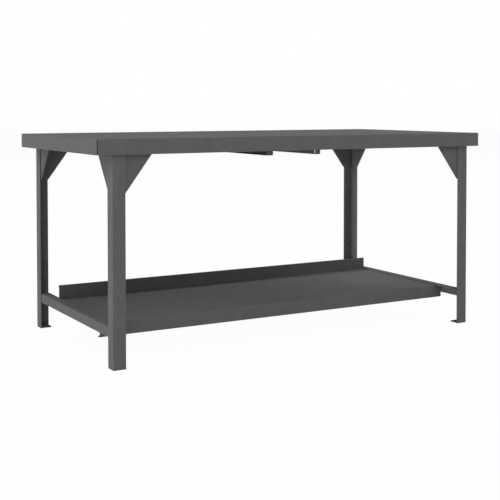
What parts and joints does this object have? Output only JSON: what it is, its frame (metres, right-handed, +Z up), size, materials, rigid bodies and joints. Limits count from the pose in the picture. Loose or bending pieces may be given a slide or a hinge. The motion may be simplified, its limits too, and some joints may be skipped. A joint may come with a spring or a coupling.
{
  "type": "assembly table",
  "caption": "Welded steel assembly table: flanged sheet top on angle-iron legs with corner gussets, a half-depth lower shelf on end rails and anchor pads inside the feet.",
  "frame": {"origin": "on the floor, under the middle of the top", "axes": "+X along the length of the table to the right of someone standing at its front, +Y to the back, +Z up"},
  "size_m": [1.8288, 0.9144, 0.8578],
  "materials": {
    "painted_steel": "satin grey powder coat",
    "painted_welds": "satin grey powder coat over rippled weld beads"
  },
  "bodies": {
    "root": {"end_rail_left": "painted_steel", "end_rail_right": "painted_steel", "foot_pad_front_left": "painted_steel", "foot_pad_front_right": "painted_steel", "foot_pad_rear_left": "painted_steel", "foot_pad_rear_right": "painted_steel", "gusset_end_front_left": "painted_steel", "gusset_end_front_right": "painted_steel", "gusset_end_rear_left": "painted_steel", "gusset_end_rear_right": "painted_steel", "gusset_long_front_left": "painted_steel", "gusset_long_front_right": "painted_steel", "gusset_long_rear_left": "painted_steel", "gusset_long_rear_right": "painted_steel", "leg_front_left": "painted_steel", "leg_front_right": "painted_steel", "leg_rear_left": "painted_steel", "leg_rear_right": "painted_steel", "shelf_pan": "painted_steel", "top_channel_left": "painted_steel", "top_channel_right": "painted_steel", "top_pan": "painted_steel", "welds_channels": "painted_welds", "welds_leg_front_left": "painted_welds", "welds_leg_front_right": "painted_welds", "welds_leg_rear_left": "painted_welds", "welds_leg_rear_right": "painted_welds", "welds_shelf": "painted_welds", "welds_top": "painted_welds"}
  },
  "joints": []
}
